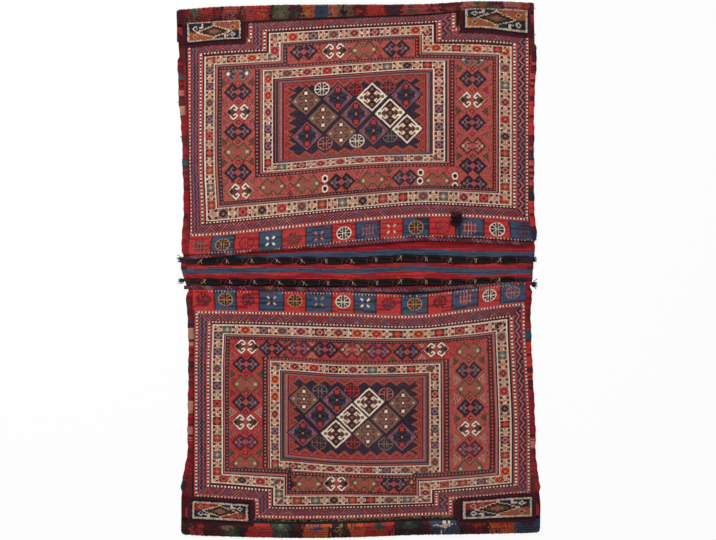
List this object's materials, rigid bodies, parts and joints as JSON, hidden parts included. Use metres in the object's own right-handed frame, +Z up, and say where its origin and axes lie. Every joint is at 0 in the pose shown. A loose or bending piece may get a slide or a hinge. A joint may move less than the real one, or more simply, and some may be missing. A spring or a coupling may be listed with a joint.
{
  "type": "woven double saddlebag",
  "caption": "Flat-woven wool double saddlebag lying flat: two patterned pouches joined by a striped bridge, with braided closure loops.",
  "frame": {"origin": "on the ground under the middle of the bag's outline", "axes": "+Y along the bag from the lower pouch to the upper one, +X across it to the right, +Z up"},
  "size_m": [1.0929, 1.6049, 0.0343],
  "materials": {
    "woven_wool": "dyed wool, woven",
    "overcast_wool": "overcast wool yarn",
    "plaited_wool": "plaited wool yarn",
    "goat_hair": "braided dark goat hair"
  },
  "bodies": {
    "root": {"upper_face": "woven_wool", "lower_face": "woven_wool", "back_cloth": "woven_wool", "upper_left_binding": "overcast_wool", "upper_left_tuft": "goat_hair", "upper_right_binding": "overcast_wool", "upper_right_tuft": "goat_hair", "upper_mouth_edging": "plaited_wool", "upper_loop_01": "goat_hair", "upper_loop_02": "goat_hair", "upper_loop_03": "goat_hair", "upper_loop_04": "goat_hair", "upper_loop_05": "goat_hair", "upper_loop_06": "goat_hair", "upper_loop_07": "goat_hair", "upper_loop_08": "goat_hair", "upper_loop_09": "goat_hair", "upper_loop_10": "goat_hair", "upper_loop_11": "goat_hair", "upper_loop_12": "goat_hair", "upper_loop_13": "goat_hair", "lower_left_binding": "overcast_wool", "lower_left_tuft": "goat_hair", "lower_right_binding": "overcast_wool", "lower_right_tuft": "goat_hair", "lower_mouth_edging": "plaited_wool", "lower_loop_01": "goat_hair", "lower_loop_02": "goat_hair", "lower_loop_03": "goat_hair", "lower_loop_04": "goat_hair", "lower_loop_05": "goat_hair", "lower_loop_06": "goat_hair", "lower_loop_07": "goat_hair", "lower_loop_08": "goat_hair", "lower_loop_09": "goat_hair", "lower_loop_10": "goat_hair", "lower_loop_11": "goat_hair", "lower_loop_12": "goat_hair", "lower_loop_13": "goat_hair", "bridge_left_selvedge": "plaited_wool", "bridge_right_selvedge": "plaited_wool", "face_tassel": "goat_hair"}
  },
  "joints": []
}
